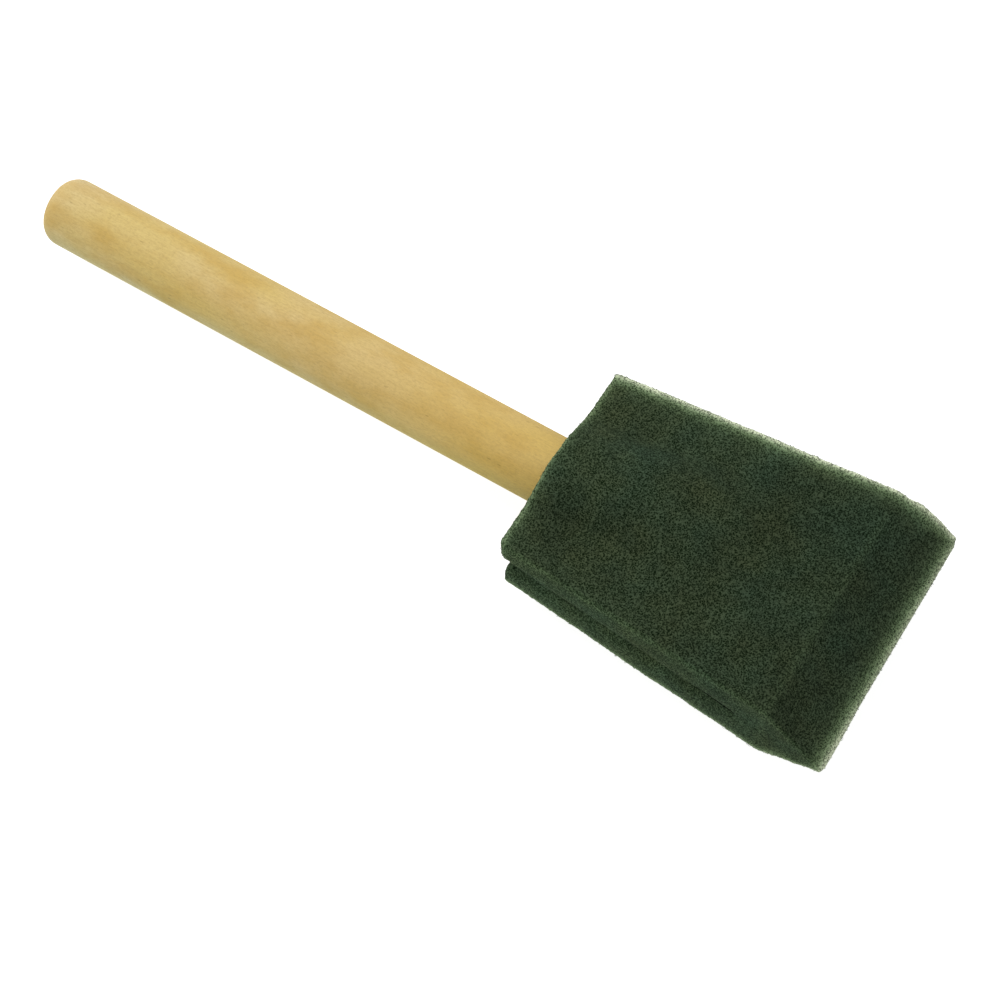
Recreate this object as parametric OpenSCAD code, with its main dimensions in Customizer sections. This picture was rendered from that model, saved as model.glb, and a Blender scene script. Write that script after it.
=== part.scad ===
// Foam sponge brush: a chisel-tipped foam head glued round a wooden dowel handle.
// The foam is one block, slit from its mouth, and its two flaps close round the dowel.
// A flexible tongue, held in a saw slot in the dowel, stiffens the foam from inside.
// X runs along the handle towards the tip, Y across the foam and Z through its thickness.
// The origin is on the dowel's axis, in the plane of the foam's mouth. Sizes are in mm.

/* [Handle] */
// Diameter of the wooden dowel
dowel_d = 13; // [11:0.5:14]
// Length of dowel that stands out of the foam
grip_l = 107.6; // [80:0.4:150]
// Length of dowel held inside the foam
socket_l = 22; // [18:1:24]
// How much slimmer the dowel is at its inner end than at the grip
taper_d = 1.5; // [0.5:0.1:2]
// Radius of the rounded edge of the free end
end_round = 3.6; // [1:0.1:5]
// Chamfer round the inner end
nose_chamfer = 0.8; // [0.4:0.1:1.2]
// Depth of the saw slot in the inner end
slot_depth = 12; // [8:1:14]

/* [Tongue] */
// Thickness of the flexible plate
tongue_t = 1; // [0.8:0.1:1.4]
// Width of the blade beyond the dowel
tongue_w = 34; // [26:1:36]
// Length of the blade beyond the dowel
tongue_reach = 25; // [18:1:27]
// Radius of the blade's corners at its tip end
tongue_corner_r = 4; // [2:0.5:6]

/* [Foam] */
// Length of the foam head from mouth to tip
foam_l = 65; // [62:1:75]
// Width at the tip
tip_w = 50; // [46:1:60]
// Width at the mouth
mouth_w = 39; // [38:1:44]
// Thickness of the closed flaps beside the dowel at the mouth
mouth_t = 13; // [11:0.5:15]
// Thickness where the two bevels start
block_t = 16; // [14:0.5:18]
// Length of the two bevels that make the chisel tip
bevel_l = 12; // [9:0.5:14]
// Thickness of the blunt edge at the tip
edge_t = 1; // [0.6:0.1:1.6]
// Thickness of the foam stretched over the dowel
cover_t = 5.5; // [4:0.1:6]
// How far the crown of the bulge is pressed flat, above and below
crown_flat = 0.3; // [0.1:0.1:0.5]
// Length beyond the dowel over which the bulge sinks into the flat faces
bulge_fade = 20; // [14:1:24]
// Depth of the crease where the two flaps meet
crease_depth = 1.7; // [1:0.1:2.2]

/* [Glue] */
// Thickness of the hot-melt films
film_t = 0.4; // [0.3:0.05:0.6]
// Thickness of the glue on each side of the tongue in the saw slot
slot_film_t = 0.2; // [0.1:0.05:0.3]

/* [Hidden] */
$fn = 96;

wood_colour = [0.82, 0.72, 0.48];
foam_colour = [0.18, 0.22, 0.16];
plastic_colour = [0.86, 0.87, 0.84];
glue_colour = [0.80, 0.66, 0.38];

slot_t = tongue_t + 2 * slot_film_t;
// The glue stops this far short of the crease, and beads keep this far apart
glue_setback = 0.6;
bead_gap = 0.05;
// The flaps are slit to here, a little short of the bevels
slit_l = foam_l - bevel_l - 1;
// Radius of the foam's bulge over the dowel, and of its far end, which lies under the flat faces
bulge_r = dowel_d / 2 + cover_t;
bulge_end_r = min(mouth_t, block_t) / 2 - 0.5;
side_angle = atan((tip_w - mouth_w) / 2 / foam_l);
// Extra reach that carries a cut clear through a face
over = 1;

function half_width(x) = (mouth_w + (tip_w - mouth_w) * x / foam_l) / 2;
// Diameter of the dowel's inner part, which is full at the mouth
function taper_at(x) = dowel_d - taper_d * x / socket_l;

// Turns a shape drawn along +Z so that it runs along +X from the given place
module along_x(x) {
    translate([x, 0, 0]) rotate([0, 90, 0]) children();
}

// The cone of the dowel's inner part between two places, grown outwards by the given amount
module taper(from, to, grow = 0) {
    along_x(from) cylinder(h = to - from, d1 = taper_at(from) + 2 * grow,
                           d2 = taper_at(to) + 2 * grow);
}

// Half of the grip's lengthwise section, with its free end at the bottom
module grip_section() {
    flat_r = dowel_d / 2 - end_round;
    intersection() {
        translate([flat_r, end_round]) circle(r = end_round);
        square([dowel_d / 2, end_round]);
    }
    square([flat_r, end_round]);
    translate([0, end_round]) square([dowel_d / 2, grip_l - end_round]);
}

module handle() {
    color(wood_colour) difference() {
        union() {
            along_x(-grip_l) rotate_extrude() grip_section();
            taper(0, socket_l - nose_chamfer);
            along_x(socket_l - nose_chamfer)
                cylinder(h = nose_chamfer, d1 = taper_at(socket_l - nose_chamfer),
                         d2 = taper_at(socket_l - nose_chamfer) - 2 * nose_chamfer);
        }
        translate([socket_l - slot_depth, -dowel_d, -slot_t / 2])
            cube([slot_depth + over, 2 * dowel_d, slot_t]);
    }
}

// The part of the tongue that sits in the saw slot, flush with the dowel's sides
module tang(thickness, depth) {
    intersection() {
        translate([socket_l - depth, -dowel_d, -thickness / 2])
            cube([depth, 2 * dowel_d, thickness]);
        taper(0, socket_l);
    }
}

// Outline of the blade, square at the dowel and with round corners at the far end
module blade_outline(length) {
    corner_x = length - tongue_corner_r;
    corner_y = tongue_w / 2 - tongue_corner_r;
    translate([0, -tongue_w / 2]) square([corner_x, tongue_w]);
    translate([0, -corner_y]) square([length, 2 * corner_y]);
    for (side = [-1, 1]) translate([corner_x, side * corner_y]) circle(r = tongue_corner_r);
}

module blade(thickness, length = tongue_reach) {
    translate([socket_l, 0, -thickness / 2]) linear_extrude(thickness) blade_outline(length);
}

module tongue() {
    color(plastic_colour) union() {
        tang(tongue_t, slot_depth - slot_film_t);
        blade(tongue_t);
    }
}

// Chisel-tipped block: its side profile crossed with its tapering plan
module foam_block() {
    bevel_x = foam_l - bevel_l;
    intersection() {
        rotate([90, 0, 0]) linear_extrude(tip_w + 2 * over, center = true)
            polygon([[0, -mouth_t / 2], [bevel_x, -block_t / 2], [foam_l, -edge_t / 2],
                     [foam_l, edge_t / 2], [bevel_x, block_t / 2], [0, mouth_t / 2]]);
        linear_extrude(block_t + 2 * over, center = true)
            polygon([[0, -mouth_w / 2], [foam_l, -tip_w / 2],
                     [foam_l, tip_w / 2], [0, mouth_w / 2]]);
    }
}

// Foam that bulges over the dowel, a little flat on its crowns, and fades into the flat faces
module foam_bulge() {
    intersection() {
        union() {
            along_x(0) cylinder(h = socket_l, r = bulge_r);
            along_x(socket_l) cylinder(h = bulge_fade, r1 = bulge_r, r2 = bulge_end_r);
        }
        translate([-over, -tip_w, crown_flat - bulge_r])
            cube([foam_l, 2 * tip_w, 2 * (bulge_r - crown_flat)]);
    }
}

// The cut that parts the two flaps, from the mouth and through both sides
module slit() {
    translate([-over, -tip_w, -film_t / 2]) cube([slit_l + over, 2 * tip_w, film_t]);
}

// V-shaped creases that the closed flaps leave along both sides: square bars on their corners
module creases() {
    bar_l = slit_l / cos(side_angle) + over;
    bar_w = crease_depth * sqrt(2);
    for (side = [-1, 1]) translate([0, side * mouth_w / 2, 0]) rotate([0, 0, side * side_angle])
        rotate([45, 0, 0]) translate([-over, -bar_w / 2, -bar_w / 2]) cube([bar_l, bar_w, bar_w]);
}

// Sheet of glue between the flaps, from the dowel out to the crease on one side
module seam_sheet(side) {
    near_x = 2 * glue_setback;
    inset = crease_depth + glue_setback;
    translate([0, 0, -film_t / 2]) linear_extrude(film_t)
        polygon([[near_x, 0], [near_x, side * (half_width(near_x) - inset)],
                 [slit_l, side * (half_width(slit_l) - inset)], [slit_l, 0]]);
}

module foam_head() {
    color(foam_colour) difference() {
        union() {
            foam_block();
            foam_bulge();
        }
        slit();
        creases();
        taper(-over, socket_l, film_t);
        blade(tongue_t + 2 * film_t, tongue_reach + film_t);
    }
}

module slot_glue() {
    color(glue_colour) difference() {
        tang(slot_t, slot_depth);
        translate([socket_l - slot_depth + slot_film_t, -dowel_d, -tongue_t / 2])
            cube([slot_depth + over, 2 * dowel_d, tongue_t]);
    }
}

// Sleeve of glue round the dowel, set back from the mouth so that none shows
module socket_glue() {
    near_x = 2 * glue_setback;
    far_x = socket_l - nose_chamfer - glue_setback;
    color(glue_colour) difference() {
        taper(near_x, far_x, film_t);
        taper(near_x - over, far_x + over);
    }
}

module tongue_film(side) {
    color(glue_colour)
        translate([0, 0, side * (tongue_t + film_t) / 2]) blade(film_t);
}
module glue_upper() { tongue_film(1); }
module glue_lower() { tongue_film(-1); }

module seam_glue(side) {
    color(glue_colour) difference() {
        seam_sheet(side);
        taper(-over, socket_l + over, film_t + bead_gap);
        blade(tongue_t + 2 * film_t, tongue_reach + film_t);
        translate([socket_l, -tongue_w / 2, -film_t])
            cube([slit_l - socket_l + over, tongue_w, 2 * film_t]);
    }
}
module seam_glue_left() { seam_glue(1); }
module seam_glue_right() { seam_glue(-1); }

handle();
tongue();
foam_head();
slot_glue();
socket_glue();
glue_upper();
glue_lower();
seam_glue_left();
seam_glue_right();
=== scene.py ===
import math

import bmesh
import bpy
import numpy as np
from mathutils import Matrix, Vector
from mathutils.kdtree import KDTree

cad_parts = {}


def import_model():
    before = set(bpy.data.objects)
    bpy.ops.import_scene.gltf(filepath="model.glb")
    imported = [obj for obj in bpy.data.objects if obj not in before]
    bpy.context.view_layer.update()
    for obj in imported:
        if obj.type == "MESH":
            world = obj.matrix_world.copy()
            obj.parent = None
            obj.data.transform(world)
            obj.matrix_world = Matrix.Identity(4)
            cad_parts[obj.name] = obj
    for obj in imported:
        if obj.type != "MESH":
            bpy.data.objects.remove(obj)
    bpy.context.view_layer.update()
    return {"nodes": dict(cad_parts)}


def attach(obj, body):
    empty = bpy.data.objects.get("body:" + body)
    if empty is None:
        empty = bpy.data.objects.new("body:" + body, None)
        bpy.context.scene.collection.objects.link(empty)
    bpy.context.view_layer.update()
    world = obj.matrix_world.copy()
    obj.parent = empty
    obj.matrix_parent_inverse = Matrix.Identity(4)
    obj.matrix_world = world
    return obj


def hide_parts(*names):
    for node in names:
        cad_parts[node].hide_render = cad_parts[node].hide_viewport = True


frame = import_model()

MM = 0.001
RNG = np.random.default_rng(20)


# ---------------------------------------------------------------- the object's sizes, in mm
def reach_of(name):
    """How far a CAD node reaches along X, Y and Z, to a tenth of a mm."""
    node = frame["nodes"][name]
    corners = [node.matrix_world @ Vector(corner) for corner in node.bound_box]
    return [round(max(c[axis] for c in corners) / MM, 1) for axis in range(3)]


# X runs from the foam's mouth to its tip. The near side is -Y and the far side is +Y. HW and HT are
# half of a width and half of a thickness.
FOAM_L, TIP_HW, BULGE_TOP = reach_of("foam_head")
SOCKET_L, DOWEL_R, _ = reach_of("handle")
TONGUE_END, TONGUE_HW, TONGUE_HT = reach_of("tongue")
BEVEL_X = FOAM_L - 12.0   # where the two bevels of the tip start
SLIT_L = BEVEL_X - 1.0    # length of the slit that parts the two flaps
MOUTH_HW = 19.5
MOUTH_HT, BLOCK_HT, EDGE_HT = 6.5, 8.0, 0.5    # at the mouth, at the bevels and at the tip
NOSE_R = 5.75             # the dowel's inner end
FILM = 0.4                # the glue films
GLUE_SETBACK = 0.55       # from the fold in to the glue between the flaps
TONGUE_CORNER = 4.0
FOLD_DEPTH, FOLD_HT = 1.7, 2.8                 # the fold where the flaps meet, at the mouth
BULGE_HW, BULGE_END_HW = 11.2, 15.0            # the bulge over the dowel, at the mouth and where it ends
BULGE_FADE_X, BULGE_FADE_L = 12.0, 32.0        # where the bulge starts to sink, and over what length

# What the real foam has and the even CAD block lacks
OFF_CENTRE = 0.15         # the block isn't cut quite in line with the dowel
UPPER_LEAN, LOWER_LEAN = -2.0, -0.3            # Y of the bulge's crown at the mouth
UPPER_CROWN = 0.8         # how far the upper bevel swells on the far side
MOUTH_FLARE, BEVEL_FLARE = 0.16, 0.55          # how far the far side's cut runs wide of its plan
LOWER_FLARE = 0.2         # the same for the lower flap on the near side
NEAR_ROUND, FAR_ROUND = 0.85, 0.3              # radii of the corners along the two sides
MOUTH_ROUND, TIP_ROUND = 0.6, 0.32             # radii of the rims at the two ends
MOST_ROUND = 0.45         # no side corner has a larger radius than this share of the half thickness
PUFF = 0.25               # how far each flap's side swells
EYE_HW, EYE_HT = 9.0, 6.2                      # the open gaps beside the dowel at the mouth
STRUT_R = (0.035, 0.065)  # thinnest and thickest loose strut

# Points round the head: along a flat face, down a side and round a corner; and stations along it
N_TOP, N_SIDE, N_CORNER = 112, 37, 4
N_STATIONS, N_RIM, N_RINGS = 160, 5, 28


# ---------------------------------------------------------------- small helpers
def smooth(u):
    u = np.clip(u, 0.0, 1.0)
    return u * u * (3.0 - 2.0 * u)


def after(x, start, length):
    """Rises smoothly from 0 at start to 1 at the given length beyond it."""
    return smooth((x - start) / length)


def before(x, start, length):
    """Falls smoothly from 1 at start to 0 at the given length beyond it."""
    return 1.0 - after(x, start, length)


def hump(offset, width):
    return np.exp(-(offset / width) ** 2)


def soft_min(a, b, k):
    h = np.clip(0.5 + 0.5 * (b - a) / k, 0.0, 1.0)
    return b * (1.0 - h) + a * h - k * h * (1.0 - h)


def cell_number(cells, salt):
    """A repeatable number from 0 to 1 for each whole-number cell, by mixing its bits with large primes."""
    c = (cells + 100000).astype(np.uint64)
    n = (c[..., 0] * np.uint64(73856093)) ^ (c[..., 1] * np.uint64(19349663)) ^ \
        (c[..., 2] * np.uint64(83492791)) ^ np.uint64(salt * 2654435761)
    n = (n ^ (n >> np.uint64(15))) * np.uint64(2246822519)
    n = (n ^ (n >> np.uint64(29))) * np.uint64(3266489917)
    return ((n ^ (n >> np.uint64(32))) & np.uint64(0xFFFFFF)).astype(float) / 0xFFFFFF


def value_noise(points, size, salt):
    """Smooth noise from -1 to 1 whose features are about size mm."""
    p = points / size
    base = np.floor(p).astype(np.int64)
    f = p - base
    f = f * f * (3.0 - 2.0 * f)
    total = np.zeros(len(p))
    for corner in np.ndindex(2, 2, 2):
        c = np.array(corner)
        weight = np.prod(np.where(c == 1, f, 1.0 - f), axis=1)
        total += weight * cell_number(base + c, salt)
    return 2.0 * total - 1.0


def pore_distance(points, size, salt):
    """Distance in cells to the nearest of a jittered grid of pore centres."""
    p = points / size
    base = np.floor(p).astype(np.int64)
    best = np.full(len(p), np.inf)
    for step in np.ndindex(3, 3, 3):
        cell = base + np.array(step) - 1
        centre = cell + np.stack([cell_number(cell, salt + i) for i in range(3)], axis=1)
        best = np.minimum(best, np.linalg.norm(p - centre, axis=1))
    return best


def mesh_object(name, verts_mm, faces):
    mesh = bpy.data.meshes.new(name)
    mesh.from_pydata((np.asarray(verts_mm) * MM).tolist(), [], faces)
    mesh.validate()
    mesh.update()
    obj = bpy.data.objects.new(name, mesh)
    bpy.context.scene.collection.objects.link(obj)
    return obj


def drop(obj):
    """Removes an object and its mesh."""
    mesh = obj.data
    bpy.data.objects.remove(obj)
    bpy.data.meshes.remove(mesh)


def surface_points(obj):
    """The vertices of a mesh in mm, and their normals."""
    mesh = obj.data
    co, no = np.empty(3 * len(mesh.vertices)), np.empty(3 * len(mesh.vertices))
    mesh.vertices.foreach_get("co", co)
    mesh.vertices.foreach_get("normal", no)
    return co.reshape(-1, 3) / MM, no.reshape(-1, 3)


def outward(mesh):
    """Turns every face of a mesh outwards."""
    bm = bmesh.new()
    bm.from_mesh(mesh)
    bmesh.ops.recalc_face_normals(bm, faces=bm.faces)
    bm.to_mesh(mesh)
    bm.free()


# ---------------------------------------------------------------- the head's outside
def half_width(x):
    return MOUTH_HW + (TIP_HW - MOUTH_HW) * x / FOAM_L


def flare(x):
    """How far the cut runs wide of its plan: on the far side, and on the near side's lower flap."""
    at_bevel = after(x, BEVEL_X + 0.5, 4.0) * (1.0 - 0.7 * after(x, FOAM_L - 4.0, 4.0))
    far = MOUTH_FLARE * before(x, SOCKET_L, 24.0) + BEVEL_FLARE * at_bevel
    return far, LOWER_FLARE * before(x, 34.0, 12.0)


def flat_height(x):
    """Half thickness of the head away from the dowel."""
    body = MOUTH_HT + (BLOCK_HT - MOUTH_HT) * x / BEVEL_X
    bevel = EDGE_HT + (BLOCK_HT - EDGE_HT) * (FOAM_L - x) / (FOAM_L - BEVEL_X)
    return soft_min(body, bevel, 0.5)


def top_height(x, y, lean, crown):
    """Half thickness with the bulge over the dowel, which leans to one side, and a crowned bevel."""
    fade = after(x, BULGE_FADE_X, BULGE_FADE_L)
    centre = lean * (1.0 - smooth(x / SOCKET_L))
    # the slope is longer on the side that the crown leans away from, with a flat top and a soft foot
    mouth_reach = np.where(y > centre, BULGE_HW - 0.5 * lean, BULGE_HW + 0.7 * lean)
    reach = mouth_reach * (1.0 - fade) + BULGE_END_HW * fade
    u = np.clip(np.abs(y - centre) / reach, 0.0, 1.0)
    rise = (BULGE_TOP - MOUTH_HT) * (1.0 - fade) * (1.0 - u ** 2.6) ** 1.6
    slope = np.clip((x - BEVEL_X) / (FOAM_L - BEVEL_X), 0.0, 1.0)
    flat = flat_height(x) + crown * np.sin(np.pi * slope) * smooth(y / 20.0)
    return np.minimum(flat + rise, BULGE_TOP)


def side_points(x, radius):
    """(y, z) down one side, from its upper corner to its lower one: two puffed flaps and a fold."""
    w, h = half_width(x), flat_height(x)
    s = np.linspace(1.0, -1.0, N_SIDE)[None, :]
    z = np.sign(s) * np.abs(s) ** 1.3 * (h - radius)
    fold = FOLD_DEPTH * (0.36 + 0.64 * np.exp(-x / 4.0)) * before(x, 42.0, 11.0)
    dent = fold * np.clip(1.0 - np.abs(z) / FOLD_HT, 0.0, 1.0) ** 2
    puff = PUFF * before(x, 40.0, 15.0) * np.sin(np.pi * np.abs(z) / h)
    return w - dent + puff, z


def corner_points(x, radius, sign_y, sign_z, falling):
    """(y, z) round one corner, whose angle falls from 90 degrees to 0 or rises from 0 to 90."""
    turn = (np.arange(N_CORNER) + 1)[None, :] / (N_CORNER + 1) * math.pi / 2
    angle = math.pi / 2 - turn if falling else turn
    w, h = half_width(x), flat_height(x)
    return np.stack([sign_y * (w - radius + radius * np.cos(angle)),
                     sign_z * (h - radius + radius * np.sin(angle))], axis=2)


def head_loop(x):
    """A closed loop of (y, z) round the head at each x, as an array (stations, points, 2)."""
    x = x[:, None]
    w, h = half_width(x), flat_height(x)
    near_r, far_r = np.minimum(NEAR_ROUND, MOST_ROUND * h), np.minimum(FAR_ROUND, MOST_ROUND * h)
    across = np.linspace(0.0, 1.0, N_TOP)[None, :]
    y_top = (w - far_r) * (1.0 - across) - (w - near_r) * across
    y_low = y_top[:, ::-1]
    upper = top_height(x, y_top, UPPER_LEAN, UPPER_CROWN)
    lower = top_height(x, y_low, LOWER_LEAN, 0.0)
    near_y, near_z = side_points(x, near_r)
    far_y, far_z = side_points(x, far_r)
    loops = np.concatenate([
        np.stack([y_top, upper], axis=2), corner_points(x, near_r, -1, 1, True),
        np.stack([-near_y, near_z], axis=2), corner_points(x, near_r, -1, -1, False),
        np.stack([y_low, -lower], axis=2), corner_points(x, far_r, 1, -1, True),
        np.stack([far_y, -far_z], axis=2), corner_points(x, far_r, 1, 1, False)], axis=1)
    y, z = loops[..., 0], loops[..., 1]
    far, near = flare(x)
    outer = smooth((np.abs(y) - w + 5.0) / 5.0)
    y += outer * np.where(y > 0.0, far, -near * smooth(-z / 4.0))
    return loops + [OFF_CENTRE, 0.0]


def inward(loops):
    """Unit vectors that point into each loop."""
    ahead = np.roll(loops, -1, axis=1) - np.roll(loops, 1, axis=1)
    n = np.stack([-ahead[..., 1], ahead[..., 0]], axis=2)
    return n / np.maximum(np.linalg.norm(n, axis=2, keepdims=True), 1e-9)


def rounded_stations():
    """Where the loops stand along X, and how far each is drawn in to round the rims at both ends."""
    turn = np.radians(np.linspace(0.0, 90.0, N_RIM))
    start, end = turn[:-1], turn[1:]
    x = [MOUTH_ROUND * (1.0 - np.cos(start)), np.linspace(MOUTH_ROUND, FOAM_L - TIP_ROUND, N_STATIONS),
         FOAM_L - TIP_ROUND + TIP_ROUND * np.sin(end)]
    inset = [MOUTH_ROUND * (1.0 - np.sin(start)), np.zeros(N_STATIONS), TIP_ROUND * (1.0 - np.cos(end))]
    return np.concatenate(x), np.concatenate(inset)


def foam_outer():
    """Vertices and faces of the head's closed outside."""
    x, inset = rounded_stations()
    loops = head_loop(x)
    loops = loops + inward(loops) * inset[:, None, None]
    stations, n = loops.shape[:2]
    verts = [np.concatenate([np.repeat(x, n)[:, None], loops.reshape(-1, 2)], axis=1)]
    faces = []
    for i in range(stations - 1):
        a, b = i * n, (i + 1) * n
        for j in range(n):
            k = (j + 1) % n
            faces.append((a + j, a + k, b + k, b + j))
    # the mouth: the first loop shrinks to the middle in rings
    previous = 0
    for i, scale in enumerate(np.linspace(1.0, 0.0, N_RINGS + 1)[1:-1]):
        verts.append(np.concatenate([np.zeros((n, 1)), loops[0] * scale], axis=1))
        here = (stations + i) * n
        for j in range(n):
            k = (j + 1) % n
            faces.append((previous + k, previous + j, here + j, here + k))
        previous = here
    verts.append(np.zeros((1, 3)))
    middle = previous + n
    for j in range(n):
        faces.append((previous + (j + 1) % n, previous + j, middle))
    # the tip: the last loop closes straight across its thin edge, and then its two sides
    last = (stations - 1) * n
    low0 = N_TOP + N_CORNER + N_SIDE + N_CORNER
    for i in range(N_TOP - 1):
        low = last + low0 + N_TOP - 1 - i
        faces.append((last + i, last + i + 1, low - 1, low))
    faces.append([last + i for i in range(N_TOP - 1, low0 + 1)])
    faces.append([last + i % n for i in range(low0 + N_TOP - 1, n + 1)])
    return np.concatenate(verts), faces


def mouth_shift(p):
    """How far each point moves along the handle: the flaps aren't cut or glued quite true."""
    x, y, z = p[:, 0], p[:, 1], p[:, 2]
    by_mouth = np.clip(1.0 - x / 18.0, 0.0, 1.0) ** 2
    near = smooth(0.5 - y / 2.0 / MOUTH_HW)
    upper = smooth(0.5 + z / 2.0)
    beside_dowel = smooth((np.abs(y + 1.0) - 5.0) / 6.0)
    skew = upper * (-0.62 + 0.17 * after(y, -5.0, 10.0)) * beside_dowel
    skew += (1.0 - upper) * (0.8 * (0.35 + 0.65 * near) - 0.06)
    near_corner = smooth((-y - MOUTH_HW + 1.2) / 1.2) ** 2
    skew += upper * 0.6 * near_corner
    seam = np.clip(1.0 - np.abs(z) / 2.5, 0.0, 1.0) ** 2 * np.clip(1.0 - x / 4.0, 0.0, 1.0)
    tip_skew = 0.27 * after(y, -22.0, 14.0)
    tip_corners = 0.35 * after(np.abs(y), 23.6, 1.4)
    return by_mouth * skew + seam - after(x, FOAM_L - 10.0, 10.0) * (tip_skew + tip_corners)


def roughen(obj):
    """Gives the foam its uneven cut surface: waves, ripples and pits, less so at the thin tip."""
    mesh = obj.data
    p, no = surface_points(obj)
    waves, ripples = 0.13 * value_noise(p, 9.0, 1), 0.05 * value_noise(p, 2.4, 2)
    pits = 0.3 * np.clip(0.55 - pore_distance(p, 0.62, 3), 0.0, 1.0)
    calm = 0.15 + 0.85 * smooth((FOAM_L - p[:, 0]) / 7.0)
    p = p + no * ((waves + ripples - pits) * calm)[:, None]
    p[:, 0] += mouth_shift(p)
    mesh.vertices.foreach_set("co", (p * MM).ravel())
    mesh.update()


# ---------------------------------------------------------------- the head's inside
def ring_solid(sections):
    """A closed solid through sections of equal point counts, each an array of 3-D points."""
    n = len(sections[0])
    faces = []
    for i in range(len(sections) - 1):
        a, b = i * n, (i + 1) * n
        for j in range(n):
            k = (j + 1) % n
            faces.append((a + j, b + j, b + k, a + k))
    faces.append(tuple(range(n)))
    faces.append(tuple(reversed(range((len(sections) - 1) * n, len(sections) * n))))
    return np.concatenate(sections), faces


def flat_section(outline, z):
    """A level section from an outline of (x, y) points."""
    outline = np.asarray(outline)
    return np.concatenate([outline, np.full((len(outline), 1), z)], axis=1)


def level_solid(outline, half_height):
    return ring_solid([flat_section(outline, z) for z in (-half_height, half_height)])


def circle_section(x, radius, n=96):
    t = np.arange(n) / n * 2 * math.pi
    return np.stack([np.full(n, x), radius * np.cos(t), radius * np.sin(t)], axis=1)


def eye_section(x, half_w, half_h, n=96):
    """The lens-shaped gap that the two flaps leave beside the dowel."""
    t = np.arange(n) / n * 2 * math.pi
    y = np.cos(t)
    z = np.sign(np.sin(t)) * (1.0 - np.abs(y) ** 1.6)
    z = np.where(np.abs(np.sin(t)) < 1e-9, 0.0, z)
    return np.stack([np.full(n, x), half_w * y, half_h * z], axis=1)


def plate_outline(x0, x1, half_w, corner, n=8):
    """A plate that is square at x0 and has round corners at x1."""
    t = np.radians(np.linspace(0, 90, n))
    cx, cy = x1 - corner, half_w - corner
    arc = np.stack([cx + corner * np.sin(t), cy + corner * np.cos(t)], axis=1)
    return np.concatenate([[[x0, half_w]], arc, (arc * [1, -1])[::-1], [[x0, -half_w]]])


def hollows(lead=5.0):
    """Cutters for the socket, tongue's pocket, eye, glued slit and open fold.

    The level cuts start this lead before the mouth.
    """
    bore = ring_solid([circle_section(-3.0, DOWEL_R + FILM + 0.1), circle_section(0.0, DOWEL_R + FILM),
                       circle_section(SOCKET_L, NOSE_R + FILM)])
    pocket = level_solid(plate_outline(SOCKET_L - 0.5, TONGUE_END + FILM, TONGUE_HW, TONGUE_CORNER),
                         TONGUE_HT + FILM)
    eye = ring_solid([eye_section(-3.0, EYE_HW + 0.6, EYE_HT + 0.2), eye_section(0.8, EYE_HW, EYE_HT),
                      eye_section(5.0, 6.6, 5.0)])
    glued = [half_width(x) - FOLD_DEPTH - GLUE_SETBACK for x in (-lead, SLIT_L)]
    slit = level_solid([[-lead, -glued[0]], [SLIT_L, -glued[1]], [SLIT_L, glued[1]],
                        [-lead, glued[0]]], FILM / 2)
    wide, fold_end, half_gap = 40.0, SLIT_L - 1.5, 0.06
    fold = level_solid([[-lead, -wide], [fold_end, -wide], [fold_end, wide], [-lead, wide]], half_gap)
    return [bore, pocket, eye, slit, fold]


def cut(obj, solids):
    cutters = []
    for i, (verts, faces) in enumerate(solids):
        cutter = mesh_object(f"cutter_{i}", verts, faces)
        outward(cutter.data)
        mod = obj.modifiers.new(cutter.name, "BOOLEAN")
        mod.operation, mod.solver, mod.object = "DIFFERENCE", "MANIFOLD", cutter
        cutters.append(cutter)
    graph = bpy.context.evaluated_depsgraph_get()
    mesh = bpy.data.meshes.new_from_object(obj.evaluated_get(graph))
    obj.modifiers.clear()
    old, obj.data = obj.data, mesh
    bpy.data.meshes.remove(old)
    for cutter in cutters:
        drop(cutter)


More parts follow.
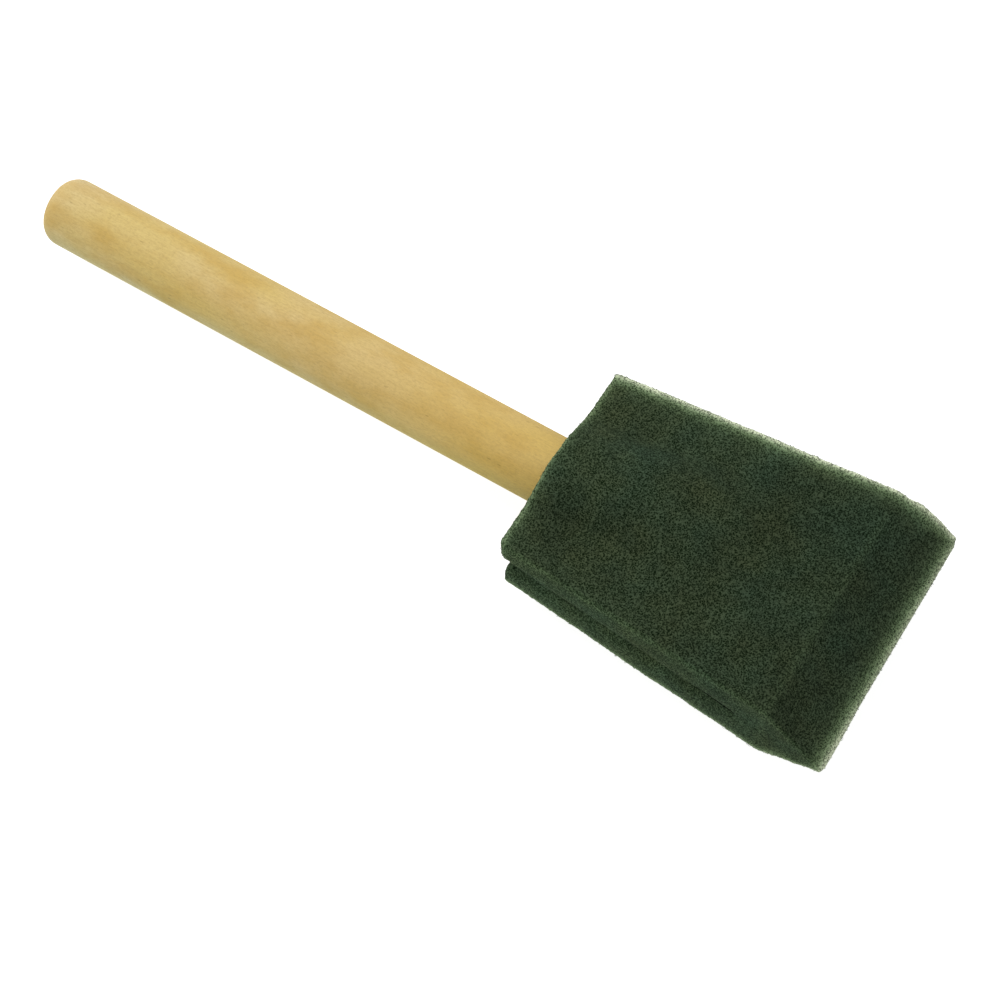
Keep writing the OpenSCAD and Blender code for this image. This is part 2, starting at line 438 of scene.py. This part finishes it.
# ---------------------------------------------------------------- material helpers
class Nodes:
    """A short way to write a node tree: each call makes a node and links or sets its inputs."""

    def __init__(self, name):
        self.material = bpy.data.materials.new(name)
        self.material.use_nodes = True
        self.tree = self.material.node_tree
        self.tree.nodes.clear()
        self.out = self.tree.nodes.new("ShaderNodeOutputMaterial")

    def add(self, kind, inputs=(), **settings):
        node = self.tree.nodes.new("ShaderNode" + kind)
        for key, value in settings.items():
            setattr(node, key, value)
        for key, value in dict(inputs).items():
            self.feed(node.inputs[key], value)
        return node

    def feed(self, socket, value):
        """Links a socket, or sets it to a number, a vector or a colour of three parts."""
        if isinstance(value, bpy.types.NodeSocket):
            self.tree.links.new(value, socket)
        elif socket.type == "RGBA" and len(value) == 3:
            socket.default_value = (*value, 1.0)
        else:
            socket.default_value = value

    def math(self, operation, a, b=None, c=None):
        values = {i: v for i, v in enumerate((a, b, c)) if v is not None}
        return self.add("Math", values, operation=operation).outputs[0]

    def times(self, a, b):
        return self.math("MULTIPLY", a, b)

    def mix(self, factor, a, b, blend="MIX"):
        return self.add("Mix", {0: factor, 6: a, 7: b}, data_type="RGBA", blend_type=blend).outputs[2]

    def ramp(self, value, stops):
        node = self.add("ValToRGB", {0: value})
        elements = node.color_ramp.elements
        while len(elements) < len(stops):
            elements.new(0.5)
        for element, (position, colour) in zip(elements, stops):
            element.position = position
            element.color = (*colour, 1.0)
        return node.outputs[0]

    def span(self, value, low, high, to_low=0.0, to_high=1.0):
        """Maps the range from low to high onto the one from to_low to to_high, and no further."""
        return self.add("MapRange", {0: value, 1: low, 2: high, 3: to_low, 4: to_high},
                        clamp=True).outputs[0]

    def coords(self, scale):
        """Object coordinates in mm, times scale along each axis."""
        place = self.add("TexCoord").outputs["Object"]
        scale = tuple(s / MM for s in scale)
        return self.add("Mapping", {"Vector": place, "Scale": scale}).outputs[0]

    def noise(self, vector, scale, detail=2.0, roughness=0.5):
        return self.add("TexNoise", {"Vector": vector, "Scale": scale, "Detail": detail,
                                     "Roughness": roughness}).outputs[0]

    def cells(self, vector, scale):
        return self.add("TexVoronoi", {"Vector": vector, "Scale": scale}, feature="F1").outputs

    def stored(self, name):
        """A value that the mesh holds for each of its points."""
        return self.add("Attribute", attribute_name=name).outputs["Fac"]

    def bump(self, height, strength, distance_mm):
        return self.add("Bump", {"Strength": strength, "Distance": distance_mm * MM,
                                 "Height": height}).outputs[0]

    def surface(self, **inputs):
        shader = self.add("BsdfPrincipled", {k.replace("_", " "): v for k, v in inputs.items()})
        self.tree.links.new(shader.outputs[0], self.out.inputs["Surface"])
        return self.material


def srgb(r, g, b):
    """Linear colour of an 8-bit screen colour."""
    c = np.array([r, g, b]) / 255.0
    return tuple(np.where(c <= 0.04045, c / 12.92, ((c + 0.055) / 1.055) ** 2.4).tolist())


def pores(m, at):
    """The foam's cells, painted dark in their middles as the shade inside the open cells: two sizes of
    them, bent by noise, and a finer grain.
    """
    wobble = m.add("TexNoise", {"Vector": at, "Scale": 1.6, "Detail": 1.0}).outputs["Color"]
    offset = m.add("VectorMath", {0: wobble, "Scale": 0.5}, operation="SCALE").outputs[0]
    bent = m.add("VectorMath", {0: at, 1: offset}, operation="ADD").outputs[0]
    coarse = m.span(m.cells(bent, 3.15)["Distance"], 0.1, 0.8)
    small = m.span(m.cells(bent, 5.1)["Distance"], 0.1, 0.8)
    grain = m.span(m.noise(at, 6.6, 3.0, 0.75), 0.25, 0.75)
    both = m.math("ADD", m.times(coarse, 0.42), m.times(small, 0.26))
    return m.math("ADD", both, m.times(grain, 0.34))


def foam_material():
    m = Nodes("foam")
    at = m.coords((1, 1, 1))
    speck = pores(m, at)
    tint = m.span(m.noise(at, 0.09, 3.0, 0.55), 0.3, 0.7)
    # dark is the painted shade in the cells' middles, light the struts
    dark = m.mix(tint, srgb(3, 25, 1), srgb(6, 25, 0))
    light = m.mix(tint, srgb(71, 91, 70), srgb(78, 89, 62))
    colour = m.mix(m.math("POWER", m.span(speck, 0.402, 0.729), 1.15), dark, light)
    # the dye, a little cloudy all over, times the painted shade stored on the mesh, and lighter and
    # greener on the cut sides
    cloud = m.span(m.noise(at, 0.17, 3.0, 0.6), 0.3, 0.7, 0.85, 1.15)
    cut_side = m.stored("cut")
    dye_and_shade = m.times(m.times(m.stored("dye_and_shade"), cloud), m.span(cut_side, 0.0, 1.0, 1.0, 1.38))
    leafy = m.times(dye_and_shade, m.span(cut_side, 0.0, 1.0, 0.985, 1.05))
    dye = m.add("CombineXYZ", {0: dye_and_shade, 1: leafy, 2: dye_and_shade}).outputs[0]
    colour = m.mix(1.0, colour, dye, "MULTIPLY")
    # light shines through near the edges, and more through the struts than through the pores
    glow = m.stored("glow")
    pale = m.mix(m.span(glow, 0.08, 0.6), srgb(190, 226, 164), srgb(230, 240, 206))
    through = m.times(glow, m.span(speck, 0.36, 0.74, 0.25, 1.75))
    colour = m.mix(m.math("MINIMUM", through, 1.0), colour, pale)
    return m.surface(Base_Color=colour, Roughness=0.95, Specular_IOR_Level=0.1,
                     Normal=m.bump(speck, 0.7, 0.1))


def across_dowel(m, place):
    """Runs from 0 on one side of the dowel to 1 on the other, along a line tilted to the bench; it places
    the painted shade round the dowel.
    """
    tilt = math.radians(23.95)
    part_y = m.math("MULTIPLY_ADD", place[1], -math.cos(tilt) / (2.0 * DOWEL_R), 0.5)
    return m.math("MULTIPLY_ADD", place[2], -math.sin(tilt) / (2.0 * DOWEL_R), part_y)


def wood_material():
    m = Nodes("birch")
    fibre = m.noise(m.coords((0.2, 2.0, 2.0)), 1.0, 4.0, 0.7)
    grain = m.noise(m.coords((1.3, 3.6, 3.6)), 1.0, 4.0, 0.8)
    blotch = m.noise(m.coords((0.11, 0.2, 0.2)), 1.0, 3.0, 0.55)
    broad = m.noise(m.coords((0.03, 0.08, 0.08)), 1.0, 2.0, 0.5)
    place = m.add("SeparateXYZ", {0: m.coords((1, 1, 1))}).outputs
    fleck = m.cells(m.coords((0.45, 1.5, 1.5)), 1.0)
    some = m.span(m.add("SeparateColor", {0: fleck["Color"]}).outputs[0], 0.86, 0.92)
    flecks = m.times(m.span(fleck["Distance"], 0.24, 0.08), some)
    colour = m.mix(m.span(broad, 0.35, 0.65), srgb(231, 210, 160), srgb(228, 203, 130))
    # more amber towards the foam (X in mm), then blotches, fibres, grain and small dark flecks
    colour = m.mix(m.span(place[0], -84.0, -18.0, 0.0, 0.62), colour, srgb(224, 186, 84))
    colour = m.mix(m.times(m.span(blotch, 0.44, 0.70), 0.6), colour, srgb(211, 172, 84))
    colour = m.mix(m.times(m.span(fibre, 0.40, 0.66), 0.28), colour, srgb(202, 172, 104))
    colour = m.mix(m.times(m.span(grain, 0.45, 0.68), 0.44), colour, srgb(182, 152, 92))
    colour = m.mix(m.times(flecks, 0.4), colour, srgb(140, 108, 60))
    # painted shade round the dowel, darker and cooler along its near, lower side, and a darker free end
    painted_shade_round_dowel = m.ramp(across_dowel(m, place), [
        (0.0, (0.97, 0.97, 1.0)), (0.45, (0.97, 0.965, 1.0)), (0.66, (0.94, 0.915, 0.86)),
        (0.86, (0.97, 1.0, 1.0)), (1.0, (0.80, 0.92, 0.98))])
    colour = m.mix(1.0, colour, painted_shade_round_dowel, "MULTIPLY")
    # the free end is darker: partly its end grain, partly painted shade against the key light there
    colour = m.mix(m.times(m.span(place[0], -103.0, -107.5), 0.45), colour, srgb(206, 178, 116))
    height = m.math("ADD", fibre, m.times(grain, 0.8))
    return m.surface(Base_Color=colour, Roughness=m.span(fibre, 0.2, 0.8, 0.62, 0.78),
                     Specular_IOR_Level=0.15, Normal=m.bump(height, 0.7, 0.09))


def plastic_material():
    m = Nodes("tongue_plastic")
    cloud = m.noise(m.coords((0.2, 0.2, 0.2)), 1.0, 3.0)
    colour = m.mix(m.span(cloud, 0.3, 0.7), (0.70, 0.71, 0.66), (0.76, 0.77, 0.72))
    ripple = m.noise(m.coords((3, 3, 3)), 1.0)
    return m.surface(Base_Color=colour, Roughness=0.45, Normal=m.bump(ripple, 0.1, 0.1))


def glue_material():
    m = Nodes("hot_melt")
    cloud = m.noise(m.coords((0.5, 0.5, 0.5)), 1.0, 3.0)
    colour = m.mix(m.span(cloud, 0.3, 0.7), srgb(158, 140, 92), srgb(190, 172, 124))
    return m.surface(Base_Color=colour, Roughness=0.3, Normal=m.bump(cloud, 0.4, 0.3))


# ---------------------------------------------------------------- looks of the foam
def shade(obj, angle):
    mesh = obj.data
    mesh.polygons.foreach_set("use_smooth", [True] * len(mesh.polygons))
    mesh.set_sharp_from_angle(angle=math.radians(angle))


def edge_distances(p):
    """How far each point is, in mm, from the head's corner lines, its mouth's rim and its tip."""
    x, y, z = p[:, 0], p[:, 1], p[:, 2]
    far, _ = flare(x)
    w, h = half_width(x) + far * ((x > BEVEL_X) & (y > 0.0)), flat_height(x)
    corner = np.hypot(w - np.abs(y), np.maximum(h - np.abs(z), 0.0))
    from_crown = np.maximum(top_height(x, y, UPPER_LEAN, 0.0) - np.abs(z), 0.0)
    mouth = np.hypot(x, np.minimum(from_crown, np.maximum(w - np.abs(y), 0.0)))
    return corner, mouth, FOAM_L - x


def shine(gap, strength, depth):
    """Light that is this strong at an edge, and down to a third of it at the given depth in mm."""
    return strength * np.exp(-gap / depth)


def glow_at(p):
    """How much of the light behind the foam shines through it near its edges, from 0 to 1."""
    x, y, z = p[:, 0], p[:, 1], p[:, 2]
    corner, mouth, tip = edge_distances(p)
    thin = after(x, BEVEL_X + 0.5, 4.0)
    far = (shine(corner, 0.7 + 0.35 * thin, 0.7 + 0.25 * thin) + shine(corner, 0.03, 3.0)) * (y > 0.0)
    upper_corner = np.hypot(half_width(x) - np.abs(y), flat_height(x) - 0.9 - np.abs(z))
    near = np.where(z > 0.0, shine(upper_corner, 0.05, 0.5), shine(corner, 1.15, 0.72)) * (y < 0.0)
    # a painted highlight: a thin light line across the top where the bevel starts
    bend_highlight = 0.018 * hump(x - BEVEL_X, 0.7) * (z > 0.0)
    rim = shine(mouth, 0.11, 0.8) + shine(mouth, 0.07, 1.5) * (x < 0.4)
    glow = np.maximum.reduce([far, near, bend_highlight, shine(tip, 0.8, 0.88), rim])
    return glow * (1.0 + 0.16 * value_noise(p, 2.5, 7))


def painted_shade_at(p):
    """Painted shade in the foam's colour: darker towards the tip, a painted shadow of the bulge beside the
    mouth on the near side, and darker on the far side.
    """
    x, y = p[:, 0], p[:, 1]
    # painted shade: the colour darkens from the mouth to the tip
    painted_falloff = 0.95 - 0.19 * np.clip(x / 50.0, 0.0, 1.0)
    # painted shadow that the bulge throws beside the mouth on the near side
    bulge_shadow = hump(x - 6.0, 6.0) * hump(y + 13.0, 4.5)
    # painted shade: darker on the far side, near the mouth and further along
    shaded = after(y, 2.0, 8.0) * hump(x - 38.0, 10.0)
    upper_side = after(y, 4.0, 8.0) * hump(x - 10.0, 14.0)
    return painted_falloff * (1.0 - 0.24 * bulge_shadow - 0.1 * shaded - 0.07 * upper_side)


def cut_side_at(p, no):
    """1 on the two cut sides of the head, and 0 on its faces."""
    by_side = half_width(p[:, 0]) - np.abs(p[:, 1]) < 4.0
    return after(np.abs(no[:, 1]), 0.35, 0.4) * by_side


def thin_out(points, feet, lift, gap):
    """Keeps points that are at least gap mm apart, with their feet and lifts."""
    kept, cells = [], {}
    for i, c in enumerate(map(tuple, np.floor(points / gap).astype(int))):
        around = [j for step in np.ndindex(3, 3, 3)
                  for j in cells.get((c[0] + step[0] - 1, c[1] + step[1] - 1, c[2] + step[2] - 1), ())]
        if all(np.sum((points[i] - points[j]) ** 2) > gap * gap for j in around):
            kept.append(i)
            cells.setdefault(c, []).append(i)
    return points[kept], feet[kept], lift[kept]


def neighbours(points, count, reach):
    """Pairs of each point and those of its nearest ones, itself counted, that are within reach."""
    tree = KDTree(len(points))
    for i, point in enumerate(points):
        tree.insert(point, i)
    tree.balance()
    pairs = {(min(i, j), max(i, j)) for i, point in enumerate(points)
             for _, j, gap in tree.find_n(point, count) if j != i and gap < reach}
    return np.array(sorted(pairs))


def struts(a, b, radius):
    """A closed six-sided sliver from each point of a to its partner in b."""
    along = b - a
    along /= np.linalg.norm(along, axis=1, keepdims=True)
    side = np.cross(along, RNG.normal(size=along.shape))
    side /= np.linalg.norm(side, axis=1, keepdims=True)
    other = np.cross(along, side)
    middle = (a + b) / 2.0
    waist = [middle + radius[:, None] * (side * math.cos(t) + other * math.sin(t))
             for t in np.radians([0.0, 120.0, 240.0])]
    verts = np.stack([a, b] + waist, axis=1).reshape(-1, 3)
    faces = []
    for i in range(0, len(verts), 5):
        for j in range(3):
            u, v = i + 2 + j, i + 2 + (j + 1) % 3
            faces += [(i, v, u), (i + 1, u, v)]
    return verts, faces


def lace(obj):
    """Loose struts of open-cell foam that stand out along the cut edges."""
    p, no = surface_points(obj)
    corner, mouth, tip = edge_distances(p)
    far = (corner < 1.0) & (p[:, 1] > 0.0) & (p[:, 0] > MOUTH_ROUND)
    near = (corner < 0.6) & (p[:, 1] < 0.0)
    # how far struts may stand out at each kind of edge; the tip's two ends have none
    reach = np.maximum.reduce([0.75 * far, 0.2 * near, 0.42 * (tip < 0.6), 0.3 * (mouth < 0.5)])
    reach[(tip < 1.2) & (half_width(p[:, 0]) - np.abs(p[:, 1]) < 1.0)] = 0.0
    # the edges with the longest struts have twice as many
    chosen = np.flatnonzero(reach > 0.0)
    chosen = np.concatenate([chosen, chosen[reach[chosen] > 0.25]])
    lift = reach[chosen] * RNG.random(len(chosen)) ** 1.3
    knots = p[chosen] + no[chosen] * lift[:, None] + RNG.normal(0.0, 0.12, (len(chosen), 3))
    knots, feet, lift = thin_out(knots, p[chosen] - 0.06 * no[chosen], lift, gap=0.23)
    pairs = neighbours(knots, count=3, reach=0.55)
    rooted = lift > 0.12
    a = np.concatenate([knots[pairs[:, 0]], feet[rooted]])
    b = np.concatenate([knots[pairs[:, 1]], knots[rooted]])
    return struts(a, b, RNG.uniform(*STRUT_R, len(a)))


def add_to(obj, verts, faces):
    """Joins more closed shapes to a mesh."""
    extra = mesh_object("extra", verts, faces)
    bm = bmesh.new()
    bm.from_mesh(obj.data)
    bm.from_mesh(extra.data)
    bm.to_mesh(obj.data)
    bm.free()
    drop(extra)


def store(mesh, name, values):
    layer = mesh.attributes.new(name, "FLOAT", "POINT")
    layer.data.foreach_set("value", values.astype(np.float32))


def make_foam():
    foam = mesh_object("foam_pad", *foam_outer())
    outward(foam.data)
    roughen(foam)
    cut(foam, hollows())
    block_verts = len(foam.data.vertices)
    add_to(foam, *lace(foam))
    shade(foam, 50)
    p, no = surface_points(foam)
    glow = glow_at(p)
    glow[block_verts:] = np.minimum(glow[block_verts:], 0.2)   # the loose struts are darker
    store(foam.data, "glow", glow)
    store(foam.data, "cut", cut_side_at(p, no))
    # the painted shade and painted shadow for the foam's colour
    store(foam.data, "dye_and_shade", painted_shade_at(p))
    foam.data.materials.clear()
    foam.data.materials.append(foam_material())
    return foam


def dress(node, material):
    """Gives a CAD node its material."""
    for slot in node.material_slots:
        slot.material = material
    if not node.material_slots:
        node.data.materials.append(material)


foam = make_foam()
looks = {"handle": wood_material(), "tongue": plastic_material(), "glue": glue_material()}
for name, node in frame["nodes"].items():
    if name != "foam_head":
        dress(node, looks.get(name, looks["glue"]))

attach(foam, "root")
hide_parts("foam_head")


# ---------------------------------------------------------------- stage, lights and camera, in m
def make_floor(half_size_mm=3000.0, gap_mm=0.05):
    """A floor that throws no grey into the picture: it is white to the camera and dimmer to the brush."""
    z, r = -BULGE_TOP - gap_mm, half_size_mm
    floor = mesh_object("floor", [(-r, -r, z), (r, -r, z), (r, r, z), (-r, r, z)], [(0, 1, 2, 3)])
    m = Nodes("floor")
    grain = m.noise(m.coords((0.05, 0.05, 0.05)), 1.0)
    colour = m.mix(grain, (0.46, 0.46, 0.46), (0.50, 0.50, 0.50))
    seen = m.add("LightPath").outputs["Is Camera Ray"]
    glow = m.span(seen, 0.0, 1.0, 0.66, 0.9)
    floor.data.materials.append(m.surface(Base_Color=colour, Roughness=0.9, Specular_IOR_Level=0.1,
                                          Emission_Color=(1.0, 1.0, 1.0), Emission_Strength=glow))


def make_light(name, place, aim, size, watts):
    data = bpy.data.lights.new(name, "AREA")
    data.shape, data.size, data.energy = "DISK", size, watts
    obj = bpy.data.objects.new(name, data)
    bpy.context.scene.collection.objects.link(obj)
    obj.location = place
    obj.rotation_euler = (Vector(aim) - Vector(place)).to_track_quat("-Z", "Y").to_euler()


def make_world(strength):
    """Even white light from all round, and a white backdrop wherever the camera sees past the floor."""
    world = bpy.data.worlds.new("studio")
    world.use_nodes = True
    tree = world.node_tree
    background = tree.nodes["Background"]
    background.inputs["Color"].default_value = (1.0, 1.0, 1.0, 1.0)
    path = tree.nodes.new("ShaderNodeLightPath")
    level = tree.nodes.new("ShaderNodeMapRange")
    level.inputs[3].default_value, level.inputs[4].default_value = strength, 1.0
    tree.links.new(path.outputs["Is Camera Ray"], level.inputs[0])
    tree.links.new(level.outputs[0], background.inputs["Strength"])
    bpy.context.scene.world = world


def make_camera(azimuth, elevation, roll, aim, distance, lens):
    """A camera that looks at aim; an azimuth of 0 looks along +Y, and the angles are in degrees."""
    azimuth, elevation, roll = (math.radians(angle) for angle in (azimuth, elevation, roll))
    back = Vector((math.sin(azimuth) * math.cos(elevation), -math.cos(azimuth) * math.cos(elevation),
                   math.sin(elevation)))
    right = Vector((math.cos(azimuth), math.sin(azimuth), 0.0))
    up = back.cross(right)
    right, up = (right * math.cos(roll) + up * math.sin(roll),
                 up * math.cos(roll) - right * math.sin(roll))
    data = bpy.data.cameras.new("camera")
    data.sensor_width, data.lens = 36.0, lens
    data.clip_start, data.clip_end = 0.01, 20.0
    camera = bpy.data.objects.new("camera", data)
    bpy.context.scene.collection.objects.link(camera)
    place = Vector(aim) + back * distance
    camera.matrix_world = Matrix.Translation(place) @ Matrix((right, up, back)).transposed().to_4x4()
    bpy.context.scene.camera = camera


make_floor()
make_light("key", place=(-0.40, 0.12, 0.75), aim=(0.0, 0.0, 0.0), size=0.6, watts=5.2)
make_world(0.36)
bpy.context.scene.view_settings.view_transform = "Standard"
make_camera(azimuth=30.97, elevation=62.63, roll=0.57, aim=(-0.00640, -0.00944, 0.0),
            distance=0.4528, lens=94.165)
